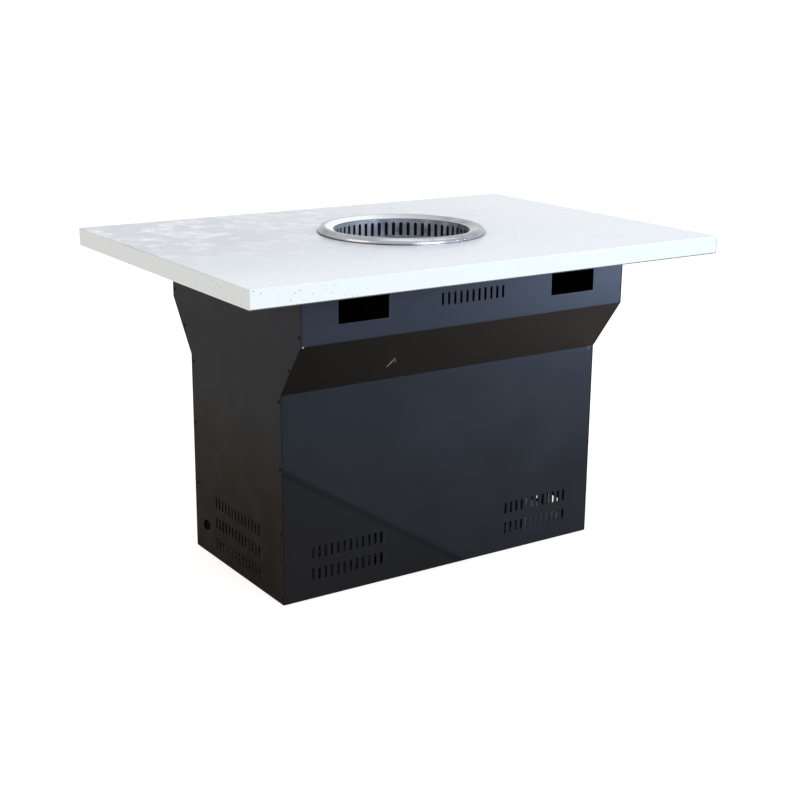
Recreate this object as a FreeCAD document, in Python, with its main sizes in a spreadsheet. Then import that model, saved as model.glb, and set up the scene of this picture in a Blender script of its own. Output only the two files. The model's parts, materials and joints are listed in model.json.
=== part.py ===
import FreeCAD, Part
import math
import os
import re

import Sketcher
from FreeCAD import Rotation, Vector

# Smokeless barbecue table with a charcoal brazier: a stone top with a steel ring and slotted
# collar just right of its middle, on a folded sheet steel pedestal that holds the duct, filters and fan.
# Millimetres. X runs along the table, the front faces -Y, Z is up, the floor is Z = 0.

doc = FreeCAD.newDocument("BrazierTable")
sheet = doc.addObject("Spreadsheet::Sheet", "Sizes")
pieces = []
tolerance = 1e-4
full_turn = 360

sizes = {
    "stone top": {
        "top_height": 750, "top_length": 1200, "top_width": 840,
        "slab_thickness": 20, "edge_height": 40, "apron_thickness": 20, "edge_round": 1.5,
        "board_thickness": 18, "board_clearance": 2, "opening_radius": 183, "well_shift": 13,
    },
    "ring and collar": {
        "ring_outer": 195, "ring_inner": 157, "ring_rise": 14, "ring_gauge": 1.5,
        "crown_round": 13, "crown_place": 179, "lip_rise": 6.5,
        "collar_gauge": 1.2, "ledge_drop": 47, "ledge_width": 12, "collar_clearance": 0.3,
        "port_count": 56, "port_wide": 8, "port_tall": 32, "port_drop": 19, "port_turn_share": 0.84,
    },
    "smoke drum": {
        "drum_radius": 180, "drum_flange": 188, "drum_gauge": 1.2, "drum_depth": 190, "dam_height": 12,
    },
    "spigots": {
        "spigot_radius": 50, "spigot_length": 30, "spigot_gauge": 1.2, "spigot_flange": 12,
    },
    "brazier": {
        "rim_clearance": 2, "pot_clearance": 3, "pot_wall": 3, "pot_depth": 103,
        "step_height": 25, "step_width": 10, "ash_hole": 5, "ash_hole_place": 93, "ash_hole_count": 16,
        "grate_thickness": 6, "grate_clearance": 1.5, "grate_slot_wide": 7, "grate_slot_count": 9,
        "grate_slot_pitch": 26, "grate_bore": 9,
        "grid_wire": 5, "grid_bar": 3, "grid_radius": 149, "grid_pitch": 14, "weld_sink": 0.8,
        "tray_gauge": 1.2, "tray_height": 18, "tray_clearance": 4,
    },
    "pedestal": {
        "base_length": 850, "lower_depth": 424, "upper_depth": 600, "low_bend": 472, "high_bend": 593,
        "panel_gauge": 1.5, "return_flange": 20, "bend_round": 2.5, "ground_gap": 2,
    },
    "vents and cut-outs": {
        "vent_wide": 6, "vent_tall": 28, "vent_pitch": 16,
        "front_vent_count": 12, "front_vent_inset": 162, "front_row_height": 58, "front_row_pitch": 50,
        "top_vent_count": 11, "top_vent_height": 655,
        "side_vent_count": 14, "side_row_count": 3, "side_row_height": 41, "side_row_pitch": 50,
        "cutout_length": 122, "cutout_tall": 50, "cutout_inset": 148, "cutout_height": 656,
        "outlet_place": 157.5, "outlet_height": 69, "outlet_radius": 10,
        "grommet_bore": 8, "grommet_rim": 12.5, "grommet_lip": 2, "grommet_clearance": 0.3,
    },
    "top frame": {
        "angle_leg": 25, "angle_gauge": 3, "frame_clearance": 1, "tube_size": 25, "tube_gauge": 1.5,
        "tube_place": 215,
    },
    "panel screws": {
        "screw_head": 4.2, "screw_crown": 3, "screw_head_tall": 2.2, "screw_shank": 2, "screw_length": 10,
        "screw_clearance": 0.2, "screw_inset": 9, "screw_low": 14, "screw_pitch": 147.5,
        "screw_slant": 532.5, "screw_high": 611,
    },
    "board screws": {
        "board_screw_head": 5, "board_screw_head_tall": 3, "board_screw_length": 15,
        "board_screw_inset": 65, "board_screw_count": 4,
    },
    "floor plate and feet": {
        "plate_rise": 20, "plate_gauge": 2, "foot_radius": 19, "foot_taper": 2, "foot_recess": 6,
        "foot_recess_radius": 8.5, "foot_inset": 45, "bolt_head": 6, "bolt_head_tall": 4, "bolt_shank": 3,
        "bolt_clearance": 0.3, "bolt_length": 26, "nut_radius": 5.8, "nut_tall": 5, "thread_clearance": 0.05,
    },
    "duct": {
        "duct_clearance": 0.3, "duct_gauge": 0.8, "duct_overlap": 22, "clamp_gauge": 1.5, "clamp_wide": 12,
    },
    "filter box": {
        "box_length": 340, "box_width": 300, "box_tall": 308, "box_gauge": 1.2, "box_flange": 14,
        "shelf_wide": 25, "shelf_gauge": 1.5, "cassette_clearance": 3,
        "grease_shelf": 266, "grease_tall": 20, "grease_slot_count": 9, "grease_slot_pitch": 28,
        "grease_slot_wide": 12, "grease_margin": 20,
        "carbon_shelf": 196, "carbon_tall": 40, "carbon_cell": 22, "carbon_cell_pitch": 28,
        "carbon_columns": 10, "carbon_rows": 9, "cover_screw_inset": 7, "cover_screw_pitch": 130,
        "cover_screw_length": 5,
    },
    "fan": {
        "fan_height": 162, "housing_width": 80, "housing_gauge": 1.5, "inlet_radius": 55,
        "impeller_radius": 90, "impeller_eye": 72, "impeller_gap": 6, "impeller_width": 58,
        "blade_gauge": 1.2, "blade_count": 20, "blade_lean": 12, "backplate_gauge": 2,
        "hub_radius": 14, "hub_length": 20, "hub_hole": 22, "cutoff_gap": 8, "scroll_growth": 24,
        "scroll_arcs": 3,
        "nozzle_reach": 196, "nozzle_shelf": 40,
    },
    "motor": {
        "motor_radius": 48, "motor_length": 70, "motor_wall": 2, "cap_thickness": 6, "cap_radius": 62,
        "stator_clearance": 0.3, "stator_inner": 31, "air_gap": 0.8, "stack_length": 44, "stack_inset": 13,
        "bearing_radius": 13, "bearing_length": 8, "bearing_boss": 16, "bearing_clearance": 0.02,
        "shaft_radius": 5, "shaft_clearance": 0.05, "shaft_nose": 12, "shaft_tail": 3,
        "motor_bolt_place": 55, "motor_bolt_length": 14, "hub_nut_radius": 9, "hub_nut_tall": 8,
        "fan_stand_length": 60, "fan_stand_gauge": 3, "stand_foot": 20,
    },
    "terminal box": {
        "terminal_length": 120, "terminal_width": 80, "terminal_tall": 60, "terminal_wall": 3,
        "terminal_inset": 80, "terminal_back": 110, "lid_thickness": 3,
    },
    "making": {"cut_overrun": 5},
}


def fill_sheet():
    row = 0
    for section, entries in sizes.items():
        row += 1
        sheet.set("A%d" % row, section)
        for alias, number in entries.items():
            row += 1
            sheet.set("A%d" % row, alias)
            sheet.set("B%d" % row, str(number))
            sheet.setAlias("B%d" % row, alias)
    doc.recompute()


# Every alias has an underscore, which tells it from a function of the expression language.
def bound(text):
    return re.sub(r"\b[a-z]+(?:_[a-z]+)+\b", r"Sizes.\g<0>", text)


def value(text):
    return float(sheet.evalExpression(text))


# Heights and places that several pieces share, as expressions of the sheet's cells.
board_top = "(top_height - slab_thickness)"
base_top = "(top_height - slab_thickness - board_thickness)"
base_end = "(base_length/2)"
panel_inside = "(base_length/2 - panel_gauge)"
flange_inside = "(base_length/2 - 2*panel_gauge)"
plate_top = "(ground_gap + plate_rise)"
ledge_height = "(top_height - ledge_drop)"
drum_floor = "(top_height - drum_depth)"
drum_under = "(top_height - drum_depth - drum_gauge)"
port_height = "(top_height - port_drop)"
rim_radius = "(ring_inner - rim_clearance)"
pot_radius = "(ring_inner - ledge_width - pot_clearance)"
pot_bottom = "(%s + pot_wall - pot_depth)" % ledge_height
crown_height = "(top_height + ring_rise - crown_round)"
collar_top = "(top_height + lip_rise - ring_gauge - collar_clearance)"
board_screw_end = "(base_length/2 - board_screw_inset)"
half_turn_share = "tan(atan((upper_depth - lower_depth)/2/(high_bend - low_bend))/2)"
box_top = "(%s + box_tall)" % plate_top
throat = "(spigot_radius - spigot_gauge)"
vent_middle = "(base_length/2 - front_vent_inset)"
cutout_middle = "(base_length/2 - cutout_inset)"
screw_rows = ["screw_low", "(screw_low + screw_pitch)", "(screw_low + 2*screw_pitch)",
              "(screw_low + 3*screw_pitch)", "screw_slant", "screw_high"]


def add_piece(kind, name):
    piece = doc.addObject(kind, name)
    piece.Label = name
    pieces.append(piece)
    return piece


def place(piece, x="0", y="0", z="0", turn=None):
    if turn is not None:
        piece.Placement = FreeCAD.Placement(Vector(), turn)
    for axis, text in (("x", x), ("y", y), ("z", z)):
        piece.setExpression("Placement.Base." + axis, bound(text))


along_x = Rotation(Vector(0, 1, 0), 90)
against_x = Rotation(Vector(0, 1, 0), -90)
along_y = Rotation(Vector(1, 0, 0), -90)
half_turn = Rotation(Vector(0, 0, 1), 180)


def origin_part(body, role):
    return [part for part in body.Origin.OriginFeatures if part.Role == role][0]


def sketch_on(body, role, name, lift=None):
    sketch = body.newObject("Sketcher::SketchObject", name)
    sketch.AttachmentSupport = [(origin_part(body, role), "")]
    sketch.MapMode = "FlatFace"
    if lift is not None:
        sketch.setExpression("AttachmentOffset.Base.z", bound(lift))
    return sketch


def hold(sketch, kind, where, text):
    index = sketch.addConstraint(Sketcher.Constraint(kind, *where, value(text)))
    sketch.setExpression("Constraints[%d]" % index, bound(text))


def polygon(sketch, corners):
    spots = [Vector(value(across), value(up), 0) for across, up in corners]
    first = sketch.GeometryCount
    count = len(spots)
    for index in range(count):
        sketch.addGeometry(Part.LineSegment(spots[index], spots[(index + 1) % count]), False)
    for index in range(count):
        joined = first + (index + 1) % count
        sketch.addConstraint(Sketcher.Constraint("Coincident", first + index, 2, joined, 1))
    for index, (across, up) in enumerate(corners):
        hold(sketch, "DistanceX", (-1, 1, first + index, 1), across)
        hold(sketch, "DistanceY", (-1, 1, first + index, 1), up)


def rectangle(sketch, left, low, right, high):
    polygon(sketch, [(left, low), (right, low), (right, high), (left, high)])


def circle(sketch, across, up, radius):
    centre = Vector(value(across), value(up), 0)
    index = sketch.addGeometry(Part.Circle(centre, Vector(0, 0, 1), value(radius)), False)
    hold(sketch, "Radius", (index,), radius)
    hold(sketch, "DistanceX", (-1, 1, index, 3), across)
    hold(sketch, "DistanceY", (-1, 1, index, 3), up)


# An upright slot with round ends, placed by its centre.
def slot(sketch, across, up, wide, tall):
    middle, level = value(across), value(up)
    radius = value(wide) / 2
    reach = value(tall) / 2 - radius
    flat = Vector(0, 0, 1)
    first = sketch.GeometryCount
    upper = Vector(middle, level + reach, 0)
    lower = Vector(middle, level - reach, 0)
    side = Vector(radius, 0, 0)
    sketch.addGeometry(Part.ArcOfCircle(Part.Circle(upper, flat, radius), 0, math.pi), False)
    sketch.addGeometry(Part.LineSegment(upper - side, lower - side), False)
    sketch.addGeometry(Part.ArcOfCircle(Part.Circle(lower, flat, radius), math.pi, 2 * math.pi), False)
    sketch.addGeometry(Part.LineSegment(lower + side, upper + side), False)
    for index in range(4):
        joined = first + (index + 1) % 4
        sketch.addConstraint(Sketcher.Constraint("Tangent", first + index, 2, joined, 1))
    sketch.addConstraint(Sketcher.Constraint("Vertical", first + 1))
    sketch.addConstraint(Sketcher.Constraint("Equal", first, first + 2))
    hold(sketch, "Radius", (first,), "(%s)/2" % wide)
    hold(sketch, "DistanceX", (-1, 1, first, 3), across)
    hold(sketch, "DistanceY", (-1, 1, first, 3), "%s + (%s - %s)/2" % (up, tall, wide))
    hold(sketch, "DistanceY", (first + 2, 3, first, 3), "%s - %s" % (tall, wide))


def pad(body, sketch, length, both_ways=False):
    feature = body.newObject("PartDesign::Pad", sketch.Name + "_pad")
    feature.Profile = sketch
    feature.Midplane = both_ways
    feature.setExpression("Length", bound(length))
    doc.recompute()
    return feature


# Cuts on both sides of the sketch, and stops the build if the cut takes nothing away.
def cut_through(body, sketch, length=None):
    before = body.Shape.Volume
    feature = body.newObject("PartDesign::Pocket", sketch.Name + "_cut")
    feature.Profile = sketch
    feature.Midplane = True
    if length is None:
        feature.Type = "ThroughAll"
    else:
        feature.setExpression("Length", bound(length))
    doc.recompute()
    if feature.Shape.Volume >= before:
        raise RuntimeError(sketch.Name + " cuts nothing")
    return feature


def repeat_along(body, feature, sketch, pitch, count, axis="H_Axis"):
    pattern = body.newObject("PartDesign::LinearPattern", feature.Name + "_row")
    pattern.Originals = [feature]
    pattern.Direction = (sketch, [axis])
    pattern.Mode = "Spacing"
    pattern.setExpression("Offset", bound(pitch))
    pattern.setExpression("Occurrences", bound(count))
    body.Tip = pattern
    doc.recompute()
    return pattern


def repeat_round(body, feature, count):
    pattern = body.newObject("PartDesign::PolarPattern", feature.Name + "_circle")
    pattern.Originals = [feature]
    pattern.Axis = (origin_part(body, "Z_Axis"), [""])
    pattern.Angle = full_turn
    pattern.setExpression("Occurrences", bound(count))
    body.Tip = pattern
    doc.recompute()
    return pattern


def revolve(body, sketch):
    feature = body.newObject("PartDesign::Revolution", sketch.Name + "_turn")
    feature.Profile = sketch
    feature.ReferenceAxis = (sketch, ["V_Axis"])
    feature.Angle = full_turn
    doc.recompute()
    return feature


# A shape turned about its own upright axis, from corners given as radius and height.
def turned_blank(name, corners, **where):
    body = doc.addObject("PartDesign::Body", name)
    outline = sketch_on(body, "XZ_Plane", name + "_outline")
    polygon(outline, corners)
    revolve(body, outline)
    place(body, **where)
    return body


def turned(name, corners, **where):
    return as_piece(turned_blank(name, corners, **where), name)


def grouped(name, members):
    group = add_piece("Part::Compound", name)
    group.Links = members
    doc.recompute()
    return group


def soften(body, feature, chosen, radius):
    names = []
    for index, edge in enumerate(feature.Shape.Edges):
        ends = [vertex.Point for vertex in edge.Vertexes]
        if len(ends) == 2 and chosen(*ends):
            names.append("Edge%d" % (index + 1))
    rounded = body.newObject("PartDesign::Fillet", feature.Name + "_round")
    rounded.Base = (feature, names)
    rounded.setExpression("Radius", bound(radius))
    doc.recompute()
    return rounded


def near(first, second):
    return abs(first - second) < tolerance


# Boxes and cylinders that booleans join; each corner and size is an expression.
def block(name, low, size):
    box = doc.addObject("Part::Box", name)
    for prop, text in zip(("Length", "Width", "Height"), size):
        box.setExpression(prop, bound(text))
    place(box, *low)
    return box


def rod(name, radius, length, x="0", y="0", z="0", turn=None):
    cylinder = doc.addObject("Part::Cylinder", name)
    cylinder.setExpression("Radius", bound(radius))
    cylinder.setExpression("Height", bound(length))
    place(cylinder, x, y, z, turn)
    return cylinder


def fused(name, shapes):
    joined = doc.addObject("Part::MultiFuse", name)
    joined.Shapes = shapes
    return joined


def minus(name, base, tools):
    cut = doc.addObject("Part::Cut", name)
    cut.Base = base
    cut.Tool = tools[0] if len(tools) == 1 else fused(name + "_tools", tools)
    return cut


def as_piece(shape, name):
    shape.Label = name
    pieces.append(shape)
    doc.recompute()
    return shape


# A group of like fasteners: a tapered head and a shank at each place, pointing one way.
def fasteners(name, places, turn, head, crown, head_tall, shank, length):
    members = []
    for index, (x, y, z) in enumerate(places):
        cap = doc.addObject("Part::Cone", "%s_head_%d" % (name, index))
        cap.setExpression("Radius1", bound(head))
        cap.setExpression("Radius2", bound(crown))
        cap.setExpression("Height", bound(head_tall))
        place(cap, x, y, z, turn)
        stem = rod("%s_shank_%d" % (name, index), shank, length, x, y, z, turn.multiply(flip))
        members.append(fused("%s_%d" % (name, index), [cap, stem]))
    return grouped(name, members)


flip = Rotation(Vector(1, 0, 0), 180)
upright = Rotation()


def stone_slab():
    body = add_piece("PartDesign::Body", "stone_slab")
    outline = sketch_on(body, "XY_Plane", "slab_outline")
    rectangle(outline, "-top_length/2", "-top_width/2", "top_length/2", "top_width/2")
    circle(outline, "well_shift", "0", "opening_radius")
    slab = pad(body, outline, "slab_thickness")
    level = value("slab_thickness")
    soften(body, slab, lambda a, b: near(a.z, level) and near(b.z, level) and a != b, "edge_round")
    place(body, z=board_top)


# The strips under the slab's rim are mitred, so that the edge reads as one thick stone.
def apron(name, corners):
    body = add_piece("PartDesign::Body", name)
    outline = sketch_on(body, "XY_Plane", name + "_outline")
    polygon(outline, corners)
    pad(body, outline, "edge_height - slab_thickness")
    place(body, z="top_height - edge_height")


def aprons():
    ends, sides = "top_length/2", "top_width/2"
    inner_ends, inner_sides = "(top_length/2 - apron_thickness)", "(top_width/2 - apron_thickness)"
    for name, sign in (("apron_front", "-"), ("apron_rear", "")):
        corners = [("-" + ends, sign + sides), (ends, sign + sides),
                   (inner_ends, sign + inner_sides), ("-" + inner_ends, sign + inner_sides)]
        apron(name, corners)
    for name, sign in (("apron_left", "-"), ("apron_right", "")):
        corners = [(sign + ends, "-" + sides), (sign + ends, sides),
                   (sign + inner_ends, inner_sides), (sign + inner_ends, "-" + inner_sides)]
        apron(name, corners)


def board_screw_places():
    places = []
    count = int(value("board_screw_count"))
    steps = ["(%s*(2*%d/(board_screw_count - 1) - 1))" % (board_screw_end, index) for index in range(count)]
    for side in ("-", ""):
        for step in steps:
            places.append((step, side + "(upper_depth/2 - panel_gauge - angle_leg/2 - angle_gauge/2)"))
    return places


def underlay_board():
    body = add_piece("PartDesign::Body", "underlay_board")
    outline = sketch_on(body, "XY_Plane", "board_outline")
    reach_x = "(top_length/2 - apron_thickness - board_clearance)"
    reach_y = "(top_width/2 - apron_thickness - board_clearance)"
    rectangle(outline, "-" + reach_x, "-" + reach_y, reach_x, reach_y)
    circle(outline, "well_shift", "0", "opening_radius")
    pad(body, outline, "board_thickness")
    pilots = sketch_on(body, "XY_Plane", "board_pilots")
    for x, y in board_screw_places():
        circle(pilots, x, y, "screw_shank + screw_clearance")
    cut_through(body, pilots)
    place(body, z=base_top)


# The ring is pressed from sheet: a flange on the stone, a round bead and a face that slopes down
# to the lip over the well. Both sides of the sheet are drawn, the sloped lines tangent to the arcs.
def trim_ring():
    body = add_piece("PartDesign::Body", "trim_ring")
    sketch = sketch_on(body, "XZ_Plane", "ring_outline")
    centre = Vector(value("crown_place"), value(crown_height), 0)
    top, gauge = value("top_height"), value("ring_gauge")
    outer, inner = value("crown_round"), value("crown_round - ring_gauge")
    foot = math.asin((top + gauge - centre.y) / outer)
    heel = math.asin((top - centre.y) / inner)
    lip = Vector(value("ring_inner"), value("top_height + lip_rise"), 0)
    slope = math.atan2(lip.y - centre.y, lip.x - centre.x) - math.acos(outer / (lip - centre).Length)
    under = Vector(lip.x, lip.y - gauge / math.sin(slope), 0)

    def on(radius, angle):
        return centre + Vector(radius * math.cos(angle), radius * math.sin(angle), 0)

    flat = Vector(0, 0, 1)
    edge = value("ring_outer")
    corners = [on(outer, slope), lip, under, on(inner, slope), on(inner, heel),
               Vector(edge, top, 0), Vector(edge, top + gauge, 0), on(outer, foot)]
    sketch.addGeometry(Part.ArcOfCircle(Part.Circle(centre, flat, outer), foot, slope), False)
    for index in (0, 1, 2):
        sketch.addGeometry(Part.LineSegment(corners[index], corners[index + 1]), False)
    sketch.addGeometry(Part.ArcOfCircle(Part.Circle(centre, flat, inner), heel, slope), False)
    for index in (4, 5, 6):
        sketch.addGeometry(Part.LineSegment(corners[index], corners[index + 1]), False)
    for pair in ((1, 2, 2, 1), (2, 2, 3, 1), (4, 1, 5, 1), (5, 2, 6, 1), (6, 2, 7, 1), (7, 2, 0, 1),
                 (0, 3, 4, 3)):
        sketch.addConstraint(Sketcher.Constraint("Coincident", *pair))
    for pair in ((0, 2, 1, 1), (3, 2, 4, 2)):
        sketch.addConstraint(Sketcher.Constraint("Tangent", *pair))
    sketch.addConstraint(Sketcher.Constraint("Parallel", 1, 3))
    for line, way in ((2, "Vertical"), (5, "Horizontal"), (6, "Vertical"), (7, "Horizontal")):
        sketch.addConstraint(Sketcher.Constraint(way, line))
    hold(sketch, "Radius", (0,), "crown_round")
    hold(sketch, "Radius", (4,), "crown_round - ring_gauge")
    hold(sketch, "DistanceX", (-1, 1, 0, 3), "crown_place")
    hold(sketch, "DistanceY", (-1, 1, 0, 3), crown_height)
    hold(sketch, "DistanceX", (-1, 1, 1, 2), "ring_inner")
    hold(sketch, "DistanceY", (-1, 1, 1, 2), "top_height + lip_rise")
    hold(sketch, "DistanceX", (-1, 1, 6, 1), "ring_outer")
    hold(sketch, "DistanceY", (-1, 1, 6, 1), "top_height")
    hold(sketch, "DistanceY", (-1, 1, 6, 2), "top_height + ring_gauge")
    revolve(body, sketch)
    place(body, x="well_shift")


# The wall under the ring, with the smoke ports all round and a ledge for the brazier's rim.
def slotted_collar():
    outside = "(ring_inner + collar_gauge)"
    body = doc.addObject("PartDesign::Body", "collar_blank")
    outline = sketch_on(body, "XZ_Plane", "collar_outline")
    polygon(outline, [("ring_inner", collar_top), ("ring_inner", ledge_height),
                      ("ring_inner - ledge_width", ledge_height),
                      ("ring_inner - ledge_width", ledge_height + " - collar_gauge"),
                      (outside, ledge_height + " - collar_gauge"), (outside, collar_top)])
    revolve(body, outline)
    ports = doc.addObject("Part::Feature", "collar_ports")
    radius = value("port_wide") / 2
    reach = value("port_tall") / 2 - radius
    level = value(port_height)
    deep = value("collar_gauge + cut_overrun")
    start = value("ring_inner") - value("cut_overrun") / 2
    shapes = []
    count = int(value("port_count"))
    for index in range(count):
        box = Part.makeBox(deep, 2 * radius, 2 * reach, Vector(start, -radius, level - reach))
        round_ends = [Part.makeCylinder(radius, deep, Vector(start, 0, level + side * reach), Vector(1, 0, 0))
                      for side in (-1, 1)]
        port = box.multiFuse(round_ends).removeSplitter()
        port.rotate(Vector(), Vector(0, 0, 1), full_turn * (index + value("port_turn_share")) / count)
        shapes.append(port)
    ports.Shape = Part.makeCompound(shapes)
    collar = as_piece(minus("slotted_collar", body, [ports]), "slotted_collar")
    place(collar, x="well_shift")


# The drum hangs from the stone by its flange. Its floor is a disc welded under the wall, with a
# dam round the drain that keeps the ash back.
def smoke_drum():
    inside = "(drum_radius - drum_gauge)"
    turned("smoke_drum", [("drum_flange", "top_height"), ("drum_flange", "top_height + drum_gauge"),
                          (inside, "top_height + drum_gauge"), (inside, drum_floor),
                          ("drum_radius", drum_floor), ("drum_radius", "top_height")], x="well_shift")
    dam = "(%s + drum_gauge)" % throat
    dam_top = drum_floor + " + dam_height"
    turned("drum_base", [(throat, drum_under), ("drum_radius", drum_under), ("drum_radius", drum_floor),
                         (dam, drum_floor), (dam, dam_top), (throat, dam_top)], x="well_shift")


# A short pipe whose flange is welded to a sheet; the duct slips over it.
def spigot(name, seat, flange_face, end):
    edge = "(spigot_radius + spigot_flange)"
    corners = [(throat, seat), (edge, seat), (edge, flange_face), ("spigot_radius", flange_face),
               ("spigot_radius", end), (throat, end)]
    turned(name, corners, x="well_shift")


def spigots():
    spigot("drum_spigot", drum_under, drum_under + " - spigot_gauge", drum_floor + " - spigot_length")
    spigot("filter_spigot", box_top, box_top + " + spigot_gauge", box_top + " + spigot_length")


def ash_tray():
    inner = "(spigot_radius + tray_clearance)"
    wall = pot_radius + " - tray_gauge"
    corners = [(inner, "0"), (pot_radius, "0"), (pot_radius, "tray_height"),
               (wall, "tray_height"), (wall, "tray_gauge"),
               (inner + " + tray_gauge", "tray_gauge"), (inner + " + tray_gauge", "tray_height"),
               (inner, "tray_height")]
    turned("ash_tray", corners, x="well_shift", z=drum_floor)


# The cast pot hangs by its rim on the collar's ledge; a step inside carries the grate.
def fire_pot():
    bore = "(%s - pot_wall)" % pot_radius
    rim_under = "(pot_depth - pot_wall)"
    shoulder = "(%s - step_width)" % bore
    body = add_piece("PartDesign::Body", "fire_pot")
    outline = sketch_on(body, "XZ_Plane", "pot_outline")
    polygon(outline, [("0", "0"), (shoulder + " + pot_wall", "0"), (pot_radius, "step_height - pot_wall"),
                      (pot_radius, rim_under), (rim_radius, rim_under), (rim_radius, "pot_depth"),
                      (bore, "pot_depth"), (bore, "step_height"), (shoulder, "step_height"),
                      (shoulder, "pot_wall"), ("0", "pot_wall")])
    revolve(body, outline)
    holes = sketch_on(body, "XY_Plane", "ash_holes")
    circle(holes, "ash_hole_place", "0", "ash_hole")
    first = cut_through(body, holes)
    repeat_round(body, first, "ash_hole_count")
    place(body, x="well_shift", z=pot_bottom)


def charcoal_grate():
    radius = "(%s - pot_wall - grate_clearance)" % pot_radius
    body = add_piece("PartDesign::Body", "charcoal_grate")
    outline = sketch_on(body, "XY_Plane", "grate_outline")
    circle(outline, "0", "0", radius)
    pad(body, outline, "grate_thickness")
    slots = sketch_on(body, "XY_Plane", "grate_slots")
    count = int(value("grate_slot_count"))
    for index in range(count):
        step = "(%d)*grate_slot_pitch" % (index - count // 2)
        tall = "2*(sqrt((%s)^2 - (%s)^2) - 2*grate_bore)" % (radius, step)
        slot(slots, step, "0", "grate_slot_wide", tall)
    cut_through(body, slots)
    place(body, x="well_shift", z="%s + step_height" % pot_bottom)


# A round wire with straight bars welded across its top.
def grill_grid():
    rim_top = "(%s + pot_wall)" % ledge_height
    ring_height = "(%s + grid_wire/2)" % rim_top
    bar_height = "(%s + (grid_wire + grid_bar)/2 - weld_sink)" % ring_height
    hoop = doc.addObject("Part::Torus", "grid_hoop")
    hoop.setExpression("Radius1", bound("grid_radius"))
    hoop.setExpression("Radius2", bound("grid_wire/2"))
    place(hoop, z=ring_height)
    members = [hoop]
    steps = int(value("grid_radius") // value("grid_pitch"))
    for index in range(-steps, steps + 1):
        across = "(%d*grid_pitch)" % index
        half = "sqrt(grid_radius^2 - %s^2)" % across
        members.append(rod("grid_bar_%d" % (index + steps), "grid_bar/2", "2*" + half,
                           across, "-" + half, bar_height, along_y))
    grid = as_piece(fused("grill_grid", members), "grill_grid")
    place(grid, x="well_shift")


# The front and rear sheets share one fold: upright, out over the knees, upright again.
def folded_line(offset, low, high):
    shift = "(%s)*%s" % (offset, half_turn_share)
    lower, upper = "-lower_depth/2 + %s" % offset, "-upper_depth/2 + %s" % offset
    return [(lower, low), (lower, "low_bend + " + shift), (upper, "high_bend + " + shift), (upper, high)]


def folded_strip(near_offset, far_offset, low, high):
    return folded_line(near_offset, low, high) + folded_line(far_offset, low, high)[::-1]


def on_outer_fold(point):
    low, high = value("lower_depth/2"), value("upper_depth/2")
    along = (point.z - value("low_bend")) / (value("high_bend") - value("low_bend"))
    depth = low + (high - low) * min(max(along, 0), 1)
    return near(point.y, -depth)


def vent_rows(body, name, plane, starts, pitch, count):
    rows = sketch_on(body, plane, name)
    for across, up in starts:
        slot(rows, across, up, "vent_wide", "vent_tall")
    cut = cut_through(body, rows)
    repeat_along(body, cut, rows, pitch, count)


def screw_holes(body, name, rows):
    holes = sketch_on(body, "YZ_Plane", name)
    for side in ("-", ""):
        for height in rows:
            circle(holes, side + screw_depth(height), height, "screw_shank + screw_clearance")
    cut_through(body, holes)


def screw_depth(height):
    if height == "screw_slant":
        return ("(lower_depth/2 + (upper_depth - lower_depth)/2*(screw_slant - low_bend)"
                "/(high_bend - low_bend) - screw_inset)")
    if height == "screw_high":
        return "(upper_depth/2 - screw_inset)"
    return "(lower_depth/2 - screw_inset)"


def folded_panel(name, cutouts, turn):
    body = add_piece("PartDesign::Body", name)
    blank = sketch_on(body, "YZ_Plane", name + "_blank")
    polygon(blank, folded_strip("0", "return_flange", "ground_gap", base_top))
    pad(body, blank, "base_length - 2*panel_gauge", True)
    fold = sketch_on(body, "YZ_Plane", name + "_fold")
    polygon(fold, folded_strip("panel_gauge", "(return_flange + cut_overrun)",
                               "ground_gap - cut_overrun", base_top + " + cut_overrun"))
    folded = cut_through(body, fold, "base_length - 4*panel_gauge")
    end = value(panel_inside)

    def at_corner(a, b):
        upright_edge = near(a.x, b.x) and near(abs(a.x), end)
        return upright_edge and on_outer_fold(a) and on_outer_fold(b)

    soften(body, folded, at_corner, "bend_round")
    half_run = "(front_vent_count - 1)*vent_pitch/2"
    starts = [(side + vent_middle + " - " + half_run, height) for side in ("-", "")
              for height in ("front_row_height", "front_row_height + front_row_pitch")]
    vent_rows(body, name + "_low_vents", "XZ_Plane", starts, "vent_pitch", "front_vent_count")
    top_start = [("-(top_vent_count - 1)*vent_pitch/2", "top_vent_height")]
    vent_rows(body, name + "_top_vents", "XZ_Plane", top_start, "vent_pitch", "top_vent_count")
    if cutouts:
        windows = sketch_on(body, "XZ_Plane", name + "_cutouts")
        for side in ("-", ""):
            middle = side + cutout_middle
            rectangle(windows, middle + " - cutout_length/2", "cutout_height - cutout_tall/2",
                      middle + " + cutout_length/2", "cutout_height + cutout_tall/2")
        cut_through(body, windows)
    holes = sketch_on(body, "YZ_Plane", name + "_screw_holes")
    for height in screw_rows:
        circle(holes, "-" + screw_depth(height), height, "screw_shank + screw_clearance")
    cut_through(body, holes)
    place(body, turn=turn)


def side_panel(name, x, with_outlet):
    body = add_piece("PartDesign::Body", name)
    outline = sketch_on(body, "YZ_Plane", name + "_outline")
    front = folded_line("0", "ground_gap", base_top)
    rear = [("-(%s)" % depth, height) for depth, height in front[::-1]]
    polygon(outline, front + rear)
    pad(body, outline, "panel_gauge")
    start = "-(side_vent_count - 1)*vent_pitch/2"
    rows = range(int(value("side_row_count")))
    starts = [(start, "side_row_height + %d*side_row_pitch" % row) for row in rows]
    vent_rows(body, name + "_vents", "YZ_Plane", starts, "vent_pitch", "side_vent_count")
    screw_holes(body, name + "_screw_holes", screw_rows)
    if with_outlet:
        outlet = sketch_on(body, "YZ_Plane", name + "_outlet")
        circle(outlet, "outlet_place", "outlet_height", "outlet_radius")
        cut_through(body, outlet)
    place(body, x=x)


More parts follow.
